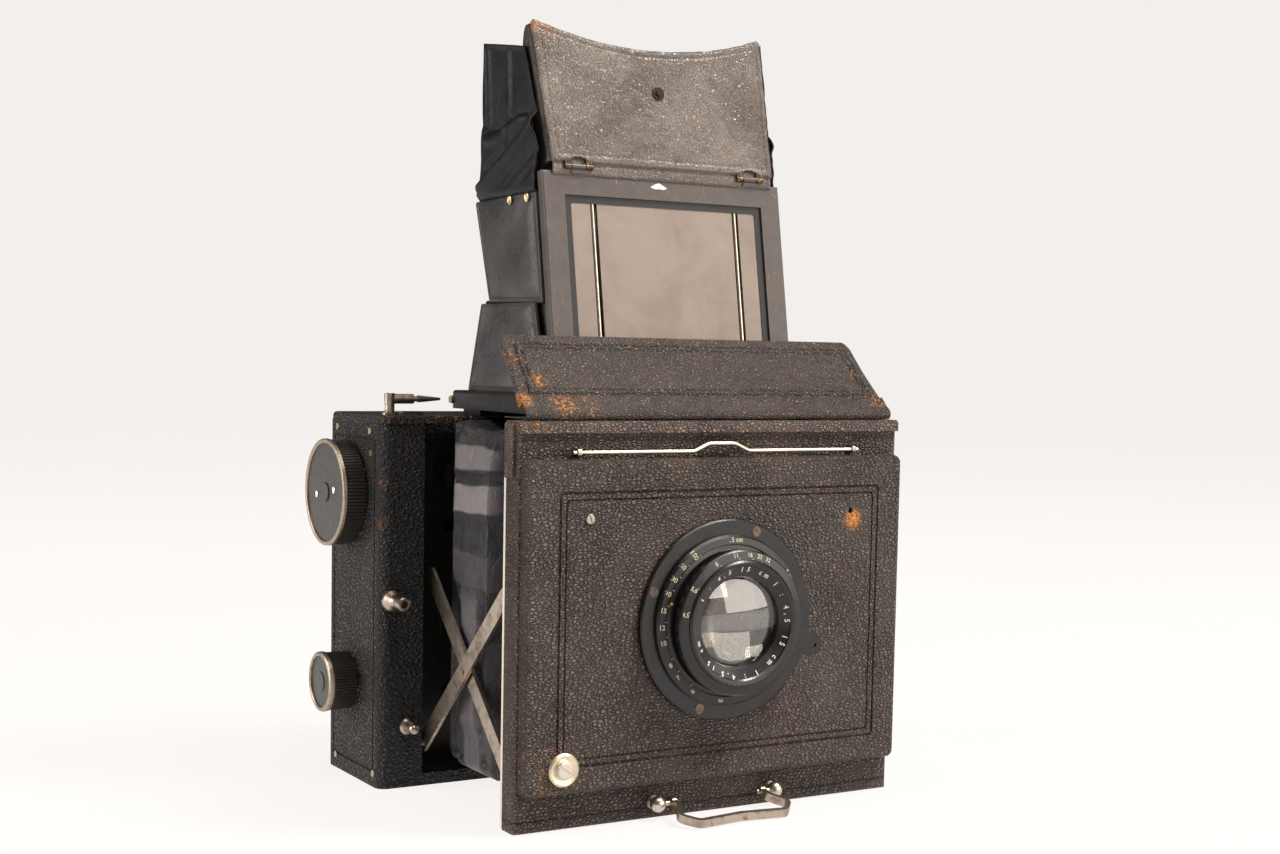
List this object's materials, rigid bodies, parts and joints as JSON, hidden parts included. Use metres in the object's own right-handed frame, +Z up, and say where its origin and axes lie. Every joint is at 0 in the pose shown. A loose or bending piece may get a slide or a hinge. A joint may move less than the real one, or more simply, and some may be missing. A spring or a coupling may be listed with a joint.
{
  "type": "folding reflex plate camera",
  "caption": "Strut-folding single-lens reflex plate camera: leather body, bellows, front standard with lens, and a tall folding focusing hood.",
  "frame": {"origin": "centre of the tripod bush's mouth, in the plane that the camera stands on", "axes": "+Z up, -Y the way the lens looks, +X to the right of a person who faces the lens"},
  "size_m": [0.2276, 0.1671, 0.3082],
  "materials": {
    "body_leather": "pebbled black leather over wood, worn",
    "front_leather": "pebbled charcoal leather with tan wear on edges",
    "hood_leather": "smooth black leather, creased",
    "visor_leather": "fine grained grey brown leather",
    "bellows_cloth": "pleated blue black cloth",
    "black_metal": "satin black lacquer on brass",
    "hood_metal": "rubbed black enamel",
    "satin_plate": "satin nickel sheet",
    "bright_nickel": "polished nickel",
    "tarnished_nickel": "warm tarnished nickel",
    "brass": "small brass screws",
    "glass": "coated optical glass",
    "ground_glass": "finely ground",
    "mirror": "front silvered",
    "curtain_cloth": "rubberised cloth",
    "knob_black": "knurled black"
  },
  "bodies": {
    "rear_body": {"body_shell": "body_leather", "top_cover": "body_leather", "rear_cover": "body_leather", "body_screws": "brass", "tripod_bush": "brass", "shutter_frame": "black_metal", "pivot_pins": "tarnished_nickel", "curtain": "curtain_cloth", "release_post": "tarnished_nickel", "cable_release_socket": "tarnished_nickel", "button_sleeve": "tarnished_nickel", "hood_base": "black_metal", "ground_glass": "ground_glass", "flap_hinge": "black_metal", "hood_lower_walls": "hood_leather", "hood_middle_walls": "hood_leather", "hood_upper_walls": "hood_leather", "bellows": "bellows_cloth"},
    "front_standard": {"front_frame": "front_leather", "back_plate": "bright_nickel", "lens_panel": "front_leather", "top_moulding": "front_leather", "latch_eyes": "tarnished_nickel", "standard_screws": "tarnished_nickel", "panel_washer": "brass", "strut_brackets": "tarnished_nickel", "ball_studs": "bright_nickel", "lens_flange": "black_metal", "focus_scale": "black_metal"},
    "wire_latch": {"wire_latch": "bright_nickel"},
    "bail_foot": {"bail_foot": "tarnished_nickel"},
    "rear_struts": {"rear_struts": "tarnished_nickel"},
    "front_struts": {"front_struts": "tarnished_nickel"},
    "mirror_carrier": {"mirror_carrier": "black_metal"},
    "mirror": {"mirror_frame": "black_metal", "mirror_glass": "mirror"},
    "winding_knob": {"winding_knob": "knob_black", "knob_rim": "bright_nickel", "knob_dial": "black_metal", "winding_gear": "tarnished_nickel"},
    "upper_roller": {"upper_roller": "tarnished_nickel"},
    "lower_roller": {"lower_roller": "tarnished_nickel"},
    "tension_knob": {"tension_knob": "knob_black"},
    "release_lever": {"release_lever": "tarnished_nickel"},
    "mirror_button": {"mirror_button": "tarnished_nickel"},
    "plate_holder": {"plate_holder": "black_metal"},
    "dark_slide": {"dark_slide": "black_metal"},
    "focus_barrel": {"focus_barrel": "black_metal"},
    "lens_unit": {"lens_tube": "black_metal", "name_ring": "black_metal", "front_element": "glass", "rear_element": "glass", "iris_blades": "black_metal"},
    "aperture_ring": {"aperture_ring": "black_metal"},
    "hood_frame": {"hood_front_frame": "hood_metal", "finder_plates": "satin_plate", "finder_rods": "bright_nickel"},
    "visor": {"visor": "visor_leather", "visor_fittings": "tarnished_nickel"},
    "top_flap": {"top_flap": "front_leather"}
  },
  "joints": [
    {"name": "front_slide", "type": "slide", "parent": "rear_body", "child": "front_standard", "axis": [0, 1, 0], "range_m": [0, 0.073], "deforming": ["bellows"]},
    {"name": "rear_strut_fold", "type": "hinge", "parent": "rear_body", "child": "rear_struts", "pos_m": [0, -0.0258, 0.017], "axis": [-1, 0, 0], "range_deg": [-0.5, 46.5]},
    {"name": "front_strut_fold", "type": "hinge", "parent": "front_standard", "child": "front_struts", "pos_m": [0, -0.0999, 0.017], "axis": [1, 0, 0], "range_deg": [-0.5, 46.5]},
    {"name": "mirror_lower", "type": "hinge", "parent": "rear_body", "child": "mirror_carrier", "pos_m": [0, -0.0044, 0.125], "axis": [1, 0, 0], "range_deg": [-0.5, 45.5]},
    {"name": "mirror_flip", "type": "hinge", "parent": "mirror_carrier", "child": "mirror", "pos_m": [0, -0.0044, 0.125], "axis": [1, 0, 0], "range_deg": [-45, 0]},
    {"name": "winding_turn", "type": "hinge", "parent": "rear_body", "child": "winding_knob", "pos_m": [-0.1, 0.0061, 0.118], "axis": [1, 0, 0], "continuous": true},
    {"name": "upper_roller_turn", "type": "hinge", "parent": "rear_body", "child": "upper_roller", "pos_m": [0, 0.0137, 0.13455], "axis": [1, 0, 0], "continuous": true},
    {"name": "lower_roller_turn", "type": "hinge", "parent": "rear_body", "child": "lower_roller", "pos_m": [0, 0.0137, 0.015], "axis": [1, 0, 0], "continuous": true},
    {"name": "tension_turn", "type": "hinge", "parent": "rear_body", "child": "tension_knob", "pos_m": [-0.1, 0.0036, 0.04], "axis": [1, 0, 0], "continuous": true},
    {"name": "release_swing", "type": "hinge", "parent": "rear_body", "child": "release_lever", "pos_m": [-0.0935, -0.0135, 0.157], "axis": [0, 0, 1], "range_deg": [0, 20], "stiffness_Nm_per_rad": 0.004, "springref_deg": -11.46},
    {"name": "button_press", "type": "slide", "parent": "rear_body", "child": "mirror_button", "axis": [0, 1, 0], "range_m": [0, 0.003], "stiffness_N_per_m": 200, "springref_m": -0.001},
    {"name": "plate_holder_slide", "type": "slide", "parent": "rear_body", "child": "plate_holder", "axis": [1, 0, 0], "range_m": [0, 0.175]},
    {"name": "dark_slide_pull", "type": "slide", "parent": "plate_holder", "child": "dark_slide", "axis": [1, 0, 0], "range_m": [0, 0.165]},
    {"name": "focus_turn", "type": "hinge", "parent": "front_standard", "child": "focus_barrel", "pos_m": [0, -0.1214, 0.076], "axis": [0, -1, 0], "range_deg": [-35, 120]},
    {"name": "lens_advance", "type": "slide", "parent": "front_standard", "child": "lens_unit", "axis": [0, -1, 0], "range_m": [-0.0031, 0.0105]},
    {"name": "aperture_turn", "type": "hinge", "parent": "lens_unit", "child": "aperture_ring", "pos_m": [0, -0.1214, 0.076], "axis": [0, -1, 0], "range_deg": [-85, 0]},
    {"name": "latch_lift", "type": "hinge", "parent": "front_standard", "child": "wire_latch", "pos_m": [0, -0.1167, 0.1404], "axis": [1, 0, 0], "range_deg": [0, 75]},
    {"name": "foot_swing", "type": "hinge", "parent": "front_standard", "child": "bail_foot", "pos_m": [0, -0.1189, 0.0062], "axis": [-1, 0, 0], "range_deg": [0, 48]},
    {"name": "hood_fold", "type": "hinge", "parent": "rear_body", "child": "hood_frame", "pos_m": [0, -0.0823, 0.164], "axis": [-1, 0, 0], "range_deg": [0, 76], "stiffness_Nm_per_rad": 0.06, "springref_deg": -68.75, "deforming": ["hood_lower_walls", "hood_middle_walls", "hood_upper_walls"]},
    {"name": "visor_fold", "type": "hinge", "parent": "hood_frame", "child": "visor", "pos_m": [0, -0.07153, 0.24899], "axis": [1, 0, 0], "range_deg": [0, 173]},
    {"name": "flap_swing", "type": "hinge", "parent": "rear_body", "child": "top_flap", "pos_m": [0, -0.1119, 0.1545], "axis": [1, 0, 0], "range_deg": [0, 130]}
  ],
  "couplings": [
    {"joint": "rear_strut_fold", "follows": "front_slide", "rad_per_m": 10.998},
    {"joint": "front_strut_fold", "follows": "front_slide", "rad_per_m": 10.998},
    {"joint": "mirror_lower", "follows": "front_slide", "rad_per_m": 10.759},
    {"joint": "upper_roller_turn", "follows": "winding_turn", "ratio": -2},
    {"joint": "lower_roller_turn", "follows": "winding_turn", "ratio": -2},
    {"joint": "lens_advance", "follows": "focus_turn", "m_per_rad": 0.0045},
    {"joint": "visor_fold", "follows": "hood_fold", "ratio": 2.2632}
  ]
}
